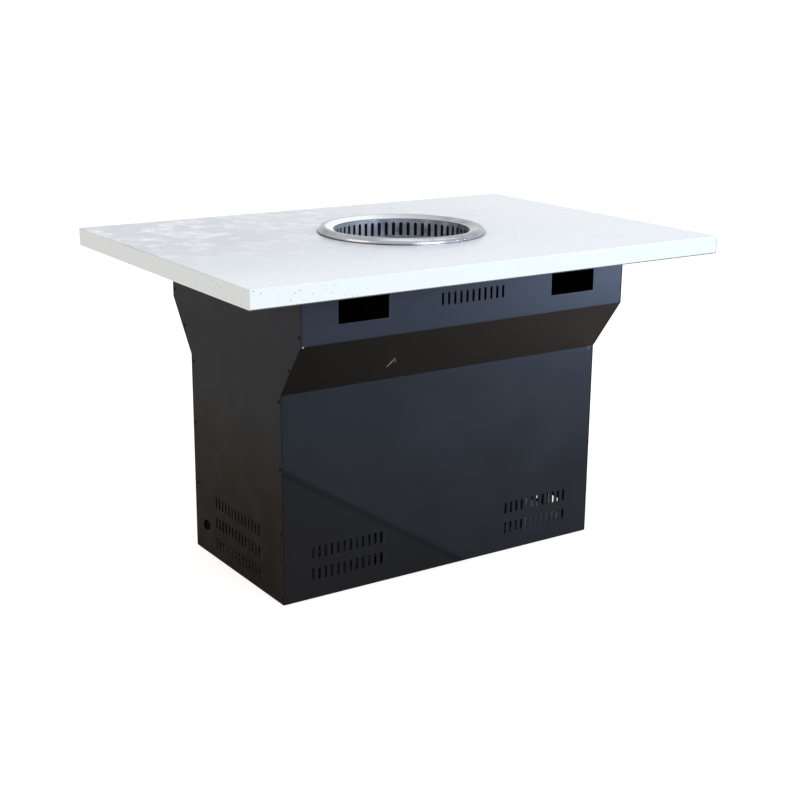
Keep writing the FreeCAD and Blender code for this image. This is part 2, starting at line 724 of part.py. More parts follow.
def panel_screws():
    places = [(side + screw_depth(height), height) for side in ("-", "") for height in screw_rows]
    for name, x, turn in (("left_panel_screws", "-" + base_end, against_x),
                          ("right_panel_screws", base_end, along_x)):
        fasteners(name, [(x, y, z) for y, z in places], turn, "screw_head", "screw_crown",
                  "screw_head_tall", "screw_shank", "screw_length")


def base_plate():
    body = add_piece("PartDesign::Body", "base_plate")
    outline = sketch_on(body, "XY_Plane", "plate_outline")
    reach_y = "(lower_depth/2 - panel_gauge)"
    rectangle(outline, "-" + flange_inside, "-" + reach_y, flange_inside, reach_y)
    pad(body, outline, "plate_rise")
    hollow = sketch_on(body, "XY_Plane", "plate_hollow")
    inner_x, inner_y = "(%s - plate_gauge)" % flange_inside, "(%s - plate_gauge)" % reach_y
    rectangle(hollow, "-" + inner_x, "-" + inner_y, inner_x, inner_y)
    cut_through(body, hollow, "2*(plate_rise - plate_gauge)")
    holes = sketch_on(body, "XY_Plane", "plate_foot_holes")
    for x, y in foot_places():
        circle(holes, x, y, "bolt_shank + bolt_clearance")
    cut_through(body, holes)
    sides = sketch_on(body, "YZ_Plane", "plate_side_holes")
    for side in ("-", ""):
        circle(sides, side + screw_depth("screw_low"), "screw_low - ground_gap",
               "screw_shank + screw_clearance")
    cut_through(body, sides)
    place(body, z="ground_gap")


def foot_places():
    across = "(base_length/2 - foot_inset)"
    back = "(lower_depth/2 - foot_inset)"
    return [(side + across, end + back) for side in ("-", "") for end in ("-", "")]


def feet():
    height = "(ground_gap + plate_rise - plate_gauge)"
    bore = "(bolt_shank + bolt_clearance)"
    corners = [("foot_recess_radius", "0"), ("foot_radius", "0"), ("foot_radius - foot_taper", height),
               (bore, height), (bore, "foot_recess"), ("foot_recess_radius", "foot_recess")]
    names = ("foot_front_left", "foot_rear_left", "foot_front_right", "foot_rear_right")
    for name, (x, y) in zip(names, foot_places()):
        turned(name, corners, x=x, y=y)
    seats = [(x, y, "foot_recess") for x, y in foot_places()]
    fasteners("foot_bolts", seats, flip, "bolt_head", "bolt_head", "bolt_head_tall", "bolt_shank",
              "bolt_length")
    hexagons = []
    for index, (x, y) in enumerate(foot_places()):
        blank = doc.addObject("Part::Prism", "foot_nut_blank_%d" % index)
        blank.Polygon = 6
        blank.setExpression("Circumradius", bound("nut_radius"))
        blank.setExpression("Height", bound("nut_tall"))
        place(blank, x, y, plate_top)
        thread = rod("foot_nut_bore_%d" % index, "bolt_shank + thread_clearance", "nut_tall", x, y, plate_top)
        hexagons.append(minus("foot_nut_%d" % index, blank, [thread]))
    grouped("foot_nuts", hexagons)


# Angle rails inside the top of the pedestal carry the board; they run along the walls.
def angle_profile(wall):
    web, flange = base_top + " - angle_leg", base_top + " - angle_gauge"
    return [(wall, base_top), (wall, web), (wall + " + angle_gauge", web), (wall + " + angle_gauge", flange),
            (wall + " + angle_leg", flange), (wall + " + angle_leg", base_top)]


def long_rail(name, turn):
    body = add_piece("PartDesign::Body", name)
    outline = sketch_on(body, "YZ_Plane", name + "_outline")
    polygon(outline, angle_profile("(-upper_depth/2 + panel_gauge)"))
    pad(body, outline, "base_length - 4*panel_gauge - 2*frame_clearance", True)
    pilots = sketch_on(body, "XY_Plane", name + "_pilots")
    front = [(x, y) for x, y in board_screw_places() if y.startswith("-")]
    for x, y in front:
        circle(pilots, x, y, "screw_shank + screw_clearance")
    cut_through(body, pilots)
    place(body, turn=turn)


def short_rail(name, turn):
    body = add_piece("PartDesign::Body", name)
    outline = sketch_on(body, "XZ_Plane", name + "_outline")
    polygon(outline, angle_profile("(-base_length/2 + panel_gauge)"))
    pad(body, outline, "upper_depth - 2*(panel_gauge + angle_leg)", True)
    place(body, turn=turn)


def cross_rail(name, x):
    length = "(upper_depth - 2*(panel_gauge + angle_gauge))"
    low = base_top + " - angle_gauge - tube_size"
    outer = block(name + "_outer", (x + " - tube_size/2", "-%s/2" % length, low),
                  ("tube_size", length, "tube_size"))
    inner = block(name + "_bore", (x + " - tube_size/2 + tube_gauge", "-%s/2 - cut_overrun" % length,
                                   low + " + tube_gauge"),
                  ("tube_size - 2*tube_gauge", length + " + 2*cut_overrun", "tube_size - 2*tube_gauge"))
    as_piece(minus(name, outer, [inner]), name)


def board_screws():
    seats = [(x, y, base_top + " - angle_gauge") for x, y in board_screw_places()]
    fasteners("board_screws", seats, flip, "board_screw_head", "screw_crown", "board_screw_head_tall",
              "screw_shank", "board_screw_length")


# A plain pipe from the drum's spigot down to the collar on the filter box.
def smoke_duct():
    bore = "(spigot_radius + duct_clearance)"
    low = "(%s + spigot_length - duct_overlap)" % box_top
    high = "(%s - spigot_length + duct_overlap)" % drum_floor
    corners = [(bore, low), (bore + " + duct_gauge", low), (bore + " + duct_gauge", high), (bore, high)]
    turned("smoke_duct", corners, x="well_shift")
    clamps = []
    skin = "(%s + duct_gauge + duct_clearance)" % bore
    levels = (low + " + clamp_wide/2", high + " - 3*clamp_wide/2")
    for index, level in enumerate(levels):
        band = rod("clamp_band_%d" % index, skin + " + clamp_gauge", "clamp_wide", x="well_shift", z=level)
        bore_cut = rod("clamp_bore_%d" % index, skin, "clamp_wide", x="well_shift", z=level)
        clamps.append(minus("clamp_%d" % index, band, [bore_cut]))
    grouped("duct_clamps", clamps)


# The box is open at the top and at the back, where a flange takes the cover's screws.
def filter_box():
    left, front = "-box_length/2", "-box_width/2"
    outer = block("box_outer", (left, front, plate_top),
                  ("box_length", "box_width", "box_tall - box_gauge"))
    cavity = block("box_cavity", (left + " + box_gauge", front + " + box_gauge", plate_top + " + box_gauge"),
                   ("box_length - 2*box_gauge", "box_width - 2*box_gauge", "box_tall"))
    mouth = block("box_mouth",
                  (left + " + box_flange", "box_width/2 - box_flange", plate_top + " + box_flange"),
                  ("box_length - 2*box_flange", "box_flange + cut_overrun", "box_tall - 2*box_flange"))
    inlet = rod("box_inlet", "inlet_radius", "2*cut_overrun", "box_length/2 - cut_overrun", "0",
                "fan_height", along_x)
    holes = cover_holes("box", "box_width/2 - cut_overrun", "2*cut_overrun")
    as_piece(minus("filter_box", outer, [cavity, mouth, inlet] + holes), "filter_box")
    lid = block("top_plate", (left, front, box_top + " - box_gauge"),
                ("box_length", "box_width", "box_gauge"))
    drain = rod("top_throat", throat, "box_gauge + 2*cut_overrun", "well_shift", "0",
                box_top + " - box_gauge - cut_overrun")
    as_piece(minus("filter_top", lid, [drain]), "filter_top")
    shelves = []
    for label, level in (("grease", "grease_shelf"), ("carbon", "carbon_shelf")):
        for side, x in (("left", left + " + box_gauge"), ("right", "box_length/2 - box_gauge - shelf_wide")):
            shelves.append(block("%s_shelf_%s" % (label, side),
                                 (x, front + " + box_gauge", plate_top + " + " + level),
                                 ("shelf_wide", "box_width - 2*box_gauge - box_flange", "shelf_gauge")))
    grouped("filter_shelves", shelves)


def cassette(name, level, tall):
    body = add_piece("PartDesign::Body", name)
    outline = sketch_on(body, "XY_Plane", name + "_outline")
    reach_x = "(box_length/2 - box_flange - cassette_clearance)"
    reach_y = "(box_width/2 - box_flange - cassette_clearance)"
    rectangle(outline, "-" + reach_x, "-" + reach_y, reach_x, reach_y)
    pad(body, outline, tall)
    place(body, z="%s + %s + shelf_gauge" % (plate_top, level))
    return body, reach_y


def filters():
    body, reach_y = cassette("grease_filter", "grease_shelf", "grease_tall")
    gaps = sketch_on(body, "XY_Plane", "grease_gaps")
    slot(gaps, "-(grease_slot_count - 1)*grease_slot_pitch/2", "0", "grease_slot_wide",
         "2*(%s - grease_margin)" % reach_y)
    cut = cut_through(body, gaps)
    repeat_along(body, cut, gaps, "grease_slot_pitch", "grease_slot_count")
    body, reach_y = cassette("carbon_filter", "carbon_shelf", "carbon_tall")
    cells = sketch_on(body, "XY_Plane", "carbon_cells")
    left = "(-(carbon_columns - 1)*carbon_cell_pitch/2 - carbon_cell/2)"
    for row in range(int(value("carbon_rows"))):
        low = "((%d - (carbon_rows - 1)/2)*carbon_cell_pitch - carbon_cell/2)" % row
        rectangle(cells, left, low, left + " + carbon_cell", low + " + carbon_cell")
    cut = cut_through(body, cells)
    repeat_along(body, cut, cells, "carbon_cell_pitch", "carbon_columns")


def filter_cover():
    plate = block("cover_plate", ("-box_length/2", "box_width/2", plate_top),
                  ("box_length", "box_gauge", "box_tall"))
    as_piece(minus("filter_cover", plate, cover_holes("cover", "box_width/2 - cut_overrun", "3*cut_overrun")),
             "filter_cover")
    places = [(x, "box_width/2 + box_gauge", z) for x, z in cover_screw_places()]
    fasteners("cover_screws", places, along_y, "screw_head", "screw_crown", "screw_head_tall",
              "screw_shank", "cover_screw_length")


def cover_screw_places():
    edges = [plate_top + " + cover_screw_inset", box_top + " - cover_screw_inset"]
    return [(side, edge) for side in ("-cover_screw_pitch", "0", "cover_screw_pitch") for edge in edges]


def cover_holes(label, y, length):
    return [rod("%s_hole_%d" % (label, index), "screw_shank + screw_clearance", length, x, y, z, along_y)
            for index, (x, z) in enumerate(cover_screw_places())]


# The scroll grows evenly from the tongue, over the top and down to the nozzle's floor.
def scroll_face(grow):
    small = value("impeller_radius + cutoff_gap")
    large = small + value("scroll_growth")
    shelf = value("nozzle_shelf")
    reach = value("nozzle_reach")
    tongue = math.pi + math.asin(shelf / small)
    end = -math.pi / 2

    def spot(angle):
        radius = small + (large - small) * (tongue - angle) / (tongue - end) + grow
        return Vector(0, radius * math.cos(angle), radius * math.sin(angle))

    steps = 2 * int(value("scroll_arcs"))
    first = Vector(0, spot(tongue).y, -shelf + grow)
    spots = [first] + [spot(tongue - (tongue - end) * (step + 1) / steps) for step in range(steps)]
    edges = [Part.Arc(*spots[index:index + 3]).toShape() for index in range(0, steps, 2)]
    floor = spots[-1].z
    run = -reach - (0 if grow else value("cut_overrun"))
    corners = [spots[-1], Vector(0, run, floor), Vector(0, run, -shelf + grow), first]
    edges += [Part.makeLine(corners[index], corners[index + 1]) for index in range(3)]
    return Part.Face(Part.Wire(edges))


def fan_housing():
    gauge, width = value("housing_gauge"), value("housing_width")
    over = value("cut_overrun")
    outer = scroll_face(gauge).extrude(Vector(width, 0, 0))
    inner = scroll_face(0).extrude(Vector(width - 2 * gauge, 0, 0))
    inner.translate(Vector(gauge, 0, 0))
    axis = Vector(1, 0, 0)
    inlet = Part.makeCylinder(value("inlet_radius"), 2 * over, Vector(-over, 0, 0), axis)
    back = Part.makeCylinder(value("hub_hole"), 2 * over, Vector(width - over, 0, 0), axis)
    bolts = []
    for y, z in motor_bolt_places():
        bolts.append(Part.makeCylinder(value("screw_shank + screw_clearance"), 2 * over,
                                       Vector(width - over, value(y), value(z)), axis))
    shape = outer.cut([inner, inlet, back] + bolts)
    housing = add_piece("Part::Feature", "fan_housing")
    housing.Shape = shape
    place(housing, x="box_length/2", z="fan_height")


def motor_bolt_places():
    reach = "motor_bolt_place*sqrt(1/2)"
    return [(side + reach, end + reach) for side in ("-", "") for end in ("-", "")]


def fan_axis_piece(name, corners):
    return turned(name, corners, x="box_length/2", z="fan_height", turn=along_x)


def impeller():
    back = "(housing_gauge + impeller_gap + impeller_width)"
    plate = "(%s - backplate_gauge)" % back
    bore = "(shaft_radius + shaft_clearance)"
    body = add_piece("PartDesign::Body", "impeller")
    outline = sketch_on(body, "XZ_Plane", "impeller_outline")
    polygon(outline, [(bore, back + " - hub_length"), ("hub_radius", back + " - hub_length"),
                      ("hub_radius", plate), ("impeller_radius", plate), ("impeller_radius", back),
                      (bore, back)])
    revolve(body, outline)
    vane = sketch_on(body, "XY_Plane", "impeller_vane", "(housing_gauge + impeller_gap)")
    tip = "(impeller_radius - 2*blade_gauge)"
    polygon(vane, [("impeller_eye", "-blade_gauge/2"), (tip, "blade_lean - blade_gauge/2"),
                   (tip, "blade_lean + blade_gauge/2"), ("impeller_eye", "blade_gauge/2")])
    blade = pad(body, vane, "impeller_width - backplate_gauge")
    repeat_round(body, blade, "blade_count")
    hoop = sketch_on(body, "XY_Plane", "impeller_hoop", "(housing_gauge + impeller_gap)")
    circle(hoop, "0", "0", "impeller_radius")
    circle(hoop, "0", "0", "impeller_eye + blade_gauge")
    pad(body, hoop, "backplate_gauge")
    place(body, x="box_length/2", z="fan_height", turn=along_x)


def fan_shaft():
    hub_start = "(housing_gauge + impeller_gap + impeller_width - hub_length)"
    start = "(%s - shaft_nose)" % hub_start
    finish = "(housing_width + cap_thickness + motor_length + shaft_tail)"
    fan_axis_piece("fan_shaft", [("0", start), ("shaft_radius", start), ("shaft_radius", finish),
                                 ("0", finish)])
    nut = doc.addObject("Part::Prism", "hub_nut_blank")
    nut.Polygon = 6
    nut.setExpression("Circumradius", bound("hub_nut_radius"))
    nut.setExpression("Height", bound("hub_nut_tall"))
    where = "(box_length/2 + %s - hub_nut_tall)" % hub_start
    place(nut, x=where, z="fan_height", turn=along_x)
    thread = rod("hub_nut_bore", "shaft_radius + shaft_clearance", "hub_nut_tall", where, "0",
                 "fan_height", along_x)
    as_piece(minus("hub_nut", nut, [thread]), "hub_nut")


def motor():
    front = "housing_width"
    shell_start = "(housing_width + cap_thickness)"
    shell_end = "(housing_width + cap_thickness + motor_length)"
    socket = "(bearing_radius + bearing_clearance)"
    gap = "(shaft_radius + 2*shaft_clearance)"
    loose = "(shaft_radius + shaft_clearance)"
    cap = add_piece("PartDesign::Body", "motor_front_cap")
    outline = sketch_on(cap, "XZ_Plane", "front_cap_outline")
    polygon(outline, [(gap + " + 2*motor_wall", front), ("cap_radius", front), ("cap_radius", shell_start),
                      ("bearing_boss", shell_start), ("bearing_boss", shell_start + " + bearing_length"),
                      (socket, shell_start + " + bearing_length"), (socket, shell_start),
                      (gap + " + 2*motor_wall", shell_start)])
    revolve(cap, outline)
    holes = sketch_on(cap, "XY_Plane", "front_cap_holes")
    for y, z in motor_bolt_places():
        circle(holes, "-(%s)" % z, y, "screw_shank + screw_clearance")
    cut_through(cap, holes)
    place(cap, x="box_length/2", z="fan_height", turn=along_x)
    fan_axis_piece("motor_shell", [("motor_radius - motor_wall", shell_start), ("motor_radius", shell_start),
                                   ("motor_radius", shell_end), ("motor_radius - motor_wall", shell_end)])
    end = "(%s + motor_wall)" % shell_end
    fan_axis_piece("motor_rear_cap", [(gap + " + 2*motor_wall", end), ("motor_radius", end),
                                      ("motor_radius", shell_end), ("bearing_boss", shell_end),
                                      ("bearing_boss", shell_end + " - bearing_length"),
                                      (socket, shell_end + " - bearing_length"), (socket, shell_end),
                                      (gap + " + 2*motor_wall", shell_end)])
    races = []
    for name, start in (("front_race", shell_start), ("rear_race", "(%s - bearing_length)" % shell_end)):
        stop = start + " + bearing_length"
        corners = [(loose, start), ("bearing_radius", start), ("bearing_radius", stop), (loose, stop)]
        races.append(turned_blank(name, corners, x="box_length/2", z="fan_height", turn=along_x))
    grouped("bearings", races)
    stack_start = "(%s + stack_inset)" % shell_start
    stack_end = "(%s + stack_length)" % stack_start
    skin = "(motor_radius - motor_wall - stator_clearance)"
    fan_axis_piece("stator_core", [("stator_inner", stack_start), (skin, stack_start),
                                   (skin, stack_end), ("stator_inner", stack_end)])
    rotor = "(stator_inner - air_gap)"
    fan_axis_piece("rotor_core", [(loose, stack_start), (rotor, stack_start), (rotor, stack_end),
                                  (loose, stack_end)])


def motor_bolts():
    places = [("box_length/2 + housing_width + cap_thickness", y, "fan_height + %s" % z)
              for y, z in motor_bolt_places()]
    fasteners("motor_bolts", places, along_x, "screw_head", "screw_head", "screw_head_tall",
              "screw_shank", "motor_bolt_length")


# A folded bracket holds the scroll off the floor plate.
def fan_stand():
    top = "(fan_height - impeller_radius - cutoff_gap - scroll_growth - housing_gauge)"
    tall = "(%s - %s)" % (top, plate_top)
    side_x = "box_length/2 + housing_gauge"
    web = block("stand_web", (side_x, "-nozzle_reach + stand_foot", plate_top),
                ("fan_stand_gauge", "nozzle_reach - stand_foot", tall))
    foot = block("stand_sole", (side_x, "-nozzle_reach + stand_foot", plate_top),
                 ("fan_stand_length", "nozzle_reach - stand_foot", "fan_stand_gauge"))
    head = block("stand_head", (side_x, "-nozzle_reach + stand_foot", top + " - fan_stand_gauge"),
                 ("fan_stand_length", "nozzle_reach - stand_foot", "fan_stand_gauge"))
    as_piece(fused("fan_stand", [web, foot, head]), "fan_stand")


def terminal_box():
    left = "(-base_length/2 + terminal_inset)"
    outer = block("terminal_outer", (left, "terminal_back", plate_top),
                  ("terminal_length", "terminal_width", "terminal_tall"))
    inner = block("terminal_cavity", (left + " + terminal_wall", "terminal_back + terminal_wall",
                                      plate_top + " + terminal_wall"),
                  ("terminal_length - 2*terminal_wall", "terminal_width - 2*terminal_wall", "terminal_tall"))
    entry = rod("terminal_entry", "grommet_bore", "3*terminal_wall", left + " - terminal_wall",
                "outlet_place", "outlet_height - grommet_bore/2", along_x)
    as_piece(minus("terminal_box", outer, [inner, entry]), "terminal_box")
    lid = block("terminal_lid", (left, "terminal_back", "%s + terminal_tall" % plate_top),
                ("terminal_length", "terminal_width", "lid_thickness"))
    as_piece(lid, "terminal_lid")


def cable_grommet():
    neck = "(outlet_radius - grommet_clearance)"
    rear = "(panel_gauge + grommet_clearance)"
    front = "(-grommet_clearance)"
    corners = [("grommet_bore", front + " - grommet_lip"), ("grommet_rim", front + " - grommet_lip"),
               ("grommet_rim", front), (neck, front), (neck, rear), ("grommet_rim", rear),
               ("grommet_rim", rear + " + grommet_lip"), ("grommet_bore", rear + " + grommet_lip")]
    turned("cable_grommet", corners, x="-" + base_end, y="outlet_place", z="outlet_height", turn=along_x)


def build():
    fill_sheet()
    stone_slab()
    aprons()
    underlay_board()
    trim_ring()
    slotted_collar()
    smoke_drum()
    ash_tray()
    fire_pot()
    charcoal_grate()
    grill_grid()
    folded_panel("front_panel", True, upright)
    folded_panel("rear_panel", False, half_turn)
    side_panel("left_panel", "-" + base_end, True)
    side_panel("right_panel", panel_inside, False)
    panel_screws()
    base_plate()
    feet()
    long_rail("top_rail_front", upright)
    long_rail("top_rail_rear", half_turn)
    short_rail("top_rail_left", upright)
    short_rail("top_rail_right", half_turn)
    cross_rail("cross_rail_left", "-tube_place")
    cross_rail("cross_rail_right", "tube_place")
    board_screws()
    spigots()
    smoke_duct()
    filter_box()
    filter_cover()
    filters()
    fan_housing()
    impeller()
    fan_shaft()
    motor()
    motor_bolts()
    fan_stand()
    terminal_box()
    cable_grommet()
    doc.recompute()


def check():
    for item in doc.Objects:
        if "Invalid" in item.State or "Error" in item.State:
            raise RuntimeError(item.Name + " did not build")
    for piece in pieces:
        if piece.Shape.isNull() or not piece.Shape.isValid():
            raise RuntimeError(piece.Label + " has no sound shape")


def write():
    os.makedirs("parts", exist_ok=True)
    for piece in pieces:
        piece.Shape.exportStep("parts/%s.step" % piece.Label)
    print(len(pieces), "pieces written")


build()
check()
write()
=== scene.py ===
import json
import math

import bpy
from mathutils import Matrix, Vector


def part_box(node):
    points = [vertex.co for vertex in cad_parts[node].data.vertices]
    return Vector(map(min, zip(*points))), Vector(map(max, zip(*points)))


# A smokeless barbecue table: white stone top, steel ring round the brazier well, black pedestal.
# Metres. The front with the control cut-outs faces -Y, the fan end is +X, the floor is z = 0.

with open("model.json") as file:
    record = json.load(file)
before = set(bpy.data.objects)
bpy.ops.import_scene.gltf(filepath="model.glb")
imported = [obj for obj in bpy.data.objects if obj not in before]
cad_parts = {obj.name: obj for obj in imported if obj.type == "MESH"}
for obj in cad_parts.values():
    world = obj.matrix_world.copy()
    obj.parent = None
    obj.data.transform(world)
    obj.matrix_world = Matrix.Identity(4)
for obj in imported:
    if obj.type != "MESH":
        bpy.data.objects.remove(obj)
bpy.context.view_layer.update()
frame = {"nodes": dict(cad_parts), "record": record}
nodes = frame["nodes"]
mm = 0.001
print("frame loaded:", len(nodes), "nodes")


# Colours and shader nodes. What a node is fed is a number, a colour, a vector or another's output.

def srgb(code):
    levels = [int(code[i:i + 2], 16) / 255 for i in (1, 3, 5)]
    linear = [c / 12.92 if c <= 0.04045 else ((c + 0.055) / 1.055) ** 2.4 for c in levels]
    return (*linear, 1.0)


def grey(level):
    return (level, level, level, 1.0)


def addNode(tree, kind, settings=None, feeds=None):
    node = tree.nodes.new("ShaderNode" + kind)
    for key, setting in (settings or {}).items():
        setattr(node, key, setting)
    for key, feed in (feeds or {}).items():
        if isinstance(feed, bpy.types.NodeSocket):
            tree.links.new(feed, node.inputs[key])
        else:
            node.inputs[key].default_value = feed
    return node


def maths(tree, operation, *feeds, clamp=False):
    settings = {"operation": operation, "use_clamp": clamp}
    return addNode(tree, "Math", settings, dict(enumerate(feeds))).outputs[0]


# Runs from low to high while the value runs from start to end.
def fade(tree, value, start, end, low=0.0, high=1.0, shape="LINEAR"):
    feeds = {"Value": value, "From Min": start, "From Max": end, "To Min": low, "To Max": high}
    return addNode(tree, "MapRange", {"interpolation_type": shape}, feeds).outputs[0]


def mixed(tree, amount, colour, tint):
    return addNode(tree, "Mix", {"data_type": "RGBA"}, {0: amount, 6: colour, 7: tint}).outputs[2]


def ramp(tree, value, stops):
    node = addNode(tree, "ValToRGB", feeds={"Fac": value})
    elements = node.color_ramp.elements
    elements.remove(elements[1])
    elements[0].position, elements[0].color = stops[0]
    for spot, colour in stops[1:]:
        elements.new(spot).color = colour
    return node.outputs[0]


def greyRamp(tree, value, stops):
    return ramp(tree, value, [(spot, grey(level)) for spot, level in stops])


def noise(tree, place, size, detail, roughness=0.5, distortion=0.0):
    feeds = {"Vector": place, "Scale": 1 / size, "Detail": detail, "Roughness": roughness,
             "Distortion": distortion}
    return addNode(tree, "TexNoise", feeds=feeds).outputs["Fac"]


def split(tree, vector):
    return addNode(tree, "SeparateXYZ", feeds={"Vector": vector}).outputs


def objectPlace(tree):
    return addNode(tree, "TexCoord").outputs["Object"]


def facing(tree):
    return split(tree, addNode(tree, "NewGeometry").outputs["Normal"])


def newMaterial(name):
    material = bpy.data.materials.new(name)
    material.use_nodes = True
    tree = material.node_tree
    tree.nodes.clear()
    surface = addNode(tree, "BsdfPrincipled")
    addNode(tree, "OutputMaterial", feeds={"Surface": surface.outputs[0]})
    return material, tree, surface


# Relief is the bump's strength and its height in metres.
def finishSurface(tree, surface, colour, roughness, height, relief, levels):
    strength, rise = relief
    bump = addNode(tree, "Bump", feeds={"Height": height, "Strength": strength, "Distance": rise})
    tree.links.new(colour, surface.inputs["Base Color"])
    tree.links.new(roughness, surface.inputs["Roughness"])
    tree.links.new(bump.outputs[0], surface.inputs["Normal"])
    for key, level in levels.items():
        surface.inputs[key].default_value = level


# Camera, placed by a fit to the corners and edges of the table
view = {
    "place": (-1.7823, -2.6878, 1.2654), "yaw": -33.746, "pitch": 15.866, "roll": 0.519,
    "focalPixels": 1413.4, "imagePixels": 800, "sensor": 36.0, "sight": 100,
}


def makeCamera():
    camera = bpy.data.objects.new("camera", bpy.data.cameras.new("camera"))
    bpy.context.scene.collection.objects.link(camera)
    camera.data.sensor_width = view["sensor"]
    camera.data.lens = view["focalPixels"] / view["imagePixels"] * view["sensor"]
    camera.data.clip_end = view["sight"]
    turn = Matrix.Rotation(math.radians(view["yaw"]), 4, "Z")
    tilt = Matrix.Rotation(math.radians(90 - view["pitch"]), 4, "X")
    roll = Matrix.Rotation(math.radians(view["roll"]), 4, "Z")
    camera.matrix_world = Matrix.Translation(view["place"]) @ turn @ tilt @ roll
    bpy.context.scene.camera = camera


# A white studio, with a pale floor that fades into it
room = {
    "white": 1.0, "skyLight": 0.55, "floorSize": 30.0, "floorColour": "#e4ddd4",
    "floorRoughness": 0.9, "floorGloss": 0.0, "floorGlow": 0.7, "floorSheen": 0.3,
    "sheenColour": "#d6c2ac",
}


# Seen straight on, in gloss or through glass, the sky is white. It lights the table less.
def makeSky():
    scene = bpy.context.scene
    scene.view_settings.view_transform = "Standard"
    world = bpy.data.worlds.new("studio")
    scene.world = world
    world.use_nodes = True
    tree = world.node_tree
    tree.nodes.clear()
    path = addNode(tree, "LightPath").outputs
    seen = maths(tree, "MAXIMUM", path["Is Camera Ray"], path["Is Glossy Ray"])
    seen = maths(tree, "MAXIMUM", seen, path["Is Transmission Ray"])
    strength = fade(tree, seen, 0.0, 1.0, room["skyLight"], room["white"])
    sky = addNode(tree, "Background", feeds={"Color": grey(room["white"]), "Strength": strength})
    addNode(tree, "OutputWorld", feeds={"Surface": sky.outputs[0]})


# The floor glows toward the camera, and less and browner into gloss.
def makeFloor():
    half = room["floorSize"] / 2
    mesh = bpy.data.meshes.new("floor")
    corners = [(-half, -half, 0), (half, -half, 0), (half, half, 0), (-half, half, 0)]
    mesh.from_pydata(corners, [], [(0, 1, 2, 3)])
    floor = bpy.data.objects.new("floor", mesh)
    bpy.context.scene.collection.objects.link(floor)
    material, tree, surface = newMaterial("pale studio floor")
    surface.inputs["Base Color"].default_value = srgb(room["floorColour"])
    surface.inputs["Roughness"].default_value = room["floorRoughness"]
    surface.inputs["Specular IOR Level"].default_value = room["floorGloss"]
    path = addNode(tree, "LightPath").outputs
    tint = mixed(tree, path["Is Glossy Ray"], grey(room["white"]), srgb(room["sheenColour"]))
    tree.links.new(tint, surface.inputs["Emission Color"])
    sheen = maths(tree, "MULTIPLY", path["Is Glossy Ray"], room["floorSheen"])
    glow = maths(tree, "MULTIPLY_ADD", path["Is Camera Ray"], room["floorGlow"], sheen)
    tree.links.new(glow, surface.inputs["Emission Strength"])
    mesh.materials.append(material)


lamps = {
    # name: place, point aimed at, width, height, watts, colour
    "windowFront": ((0.6, -5.4, 1.9), (0.0, -0.2, 0.5), 3.4, 2.0, 132, "#dfeaff"),
    "stripRight": ((2.9, -2.6, 0.4), (0.2, -0.3, 0.6), 1.5, 0.7, 350, "#bcd4ff"),
    "ceilingSoft": ((0.5, -0.7, 3.4), (0.1, -0.1, 0.7), 3.0, 3.0, 31, "#eef6ff"),
    "fillLeft": ((-3.6, 0.2, 1.8), (-0.3, 0.0, 0.4), 2.0, 1.6, 20, "#fff2ee"),
    "fillBack": ((1.2, 4.2, 1.2), (0.1, 0.0, 0.4), 2.4, 1.6, 12, "#ffffff"),
}
glossOnly = ("stripRight",)  # a low strip that only draws a soft highlight on the black front
lightOnly = ("fillBack",)  # lights the rear, and isn't mirrored in the stone


def makeLamps():
    for name, (place, aim, width, height, watts, colour) in lamps.items():
        data = bpy.data.lights.new(name, "AREA")
        data.shape = "RECTANGLE"
        data.size = width
        data.size_y = height
        data.energy = watts
        data.color = srgb(colour)[:3]
        lamp = bpy.data.objects.new(name, data)
        lamp.visible_diffuse = name not in glossOnly
        lamp.visible_glossy = name not in lightOnly
        bpy.context.scene.collection.objects.link(lamp)
        turn = (Vector(aim) - Vector(place)).to_track_quat("-Z", "Y").to_matrix().to_4x4()
        lamp.matrix_world = Matrix.Translation(place) @ turn


makeCamera()
makeSky()
makeFloor()
makeLamps()
print("camera and room made")


# In the tables below a fade is the value where it starts and the value where it ends, and then its
# two results where they aren't 0 and 1. A pattern is its size and detail, and then its roughness
# and distortion where they aren't the usual ones.

# Polished white stone: a cool white body with painted shade toward the left and the far side, with
# milky streaks at the far left, one hairline from the ring to the front, small dark pits in the edges
# and a painted shadow along the lower arris.
stone = {
    # dull: the painted shade toward the left and the far side of the top
    "body": "#eff4f8", "dull": "#c9d0d5", "cloud": "#c0c6cd", "milk": "#fbfdff",
    "edge": "#f0f7f7", "hairline": "#b9bdc2", "pit": "#98948d", "arris": "#57524d",
    "clouds": (130 * mm, 6, 0.6, 0.25), "streaks": (45 * mm, 5, 0.6, 0.2), "grain": (4 * mm, 3),
    "cloudStops": ((0.35, 0.0), (0.7, 0.6)), "milkStops": ((0.46, 0.0), (0.72, 1.0)),
    "grainStops": ((0.4, 0.0), (0.65, 0.22)),
    # fades along x and y
    "leftward": (0.5, -0.35), "backward": (-0.37, 0.06), "splash": (-0.25, 0.15),
    # the hairline: its ends, width and fade from side to middle
    "hairlineFrom": (-126 * mm, -105 * mm), "hairlineTo": (-91 * mm, -420 * mm),
    "hairlineWidth": 1.5 * mm, "hairlineFade": (1.0, 0.6, 0.0, 0.7),
    # the edges: how far below the top face they start, and their pits, most at the near left corner
    "edgeFrom": 1 * mm, "edgeTo": 3 * mm, "pitSize": 11 * mm, "pitScatter": 1.0,
    "pitFade": (0.16, 0.1), "cornerFade": (0.35, 0.02, 0.1, 1.0),
    # the arris painted dark as shadow: its two limits in from the edge, and how strong it is at the
    # right end
    "arrisInner": 2.4 * mm, "arrisOuter": 1.4 * mm, "arrisEnd": 0.5,
    "facesFront": (-0.7, -0.9), "facesEnd": (0.9, 0.7),
    "ior": 1.54, "gloss": 0.25, "polish": (0.3, 0.7, 0.16, 0.26), "sawn": 0.6,
    "relief": (0.15, 0.3 * mm),
}


def stoneTop():
    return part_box("stone_slab")[1][2]


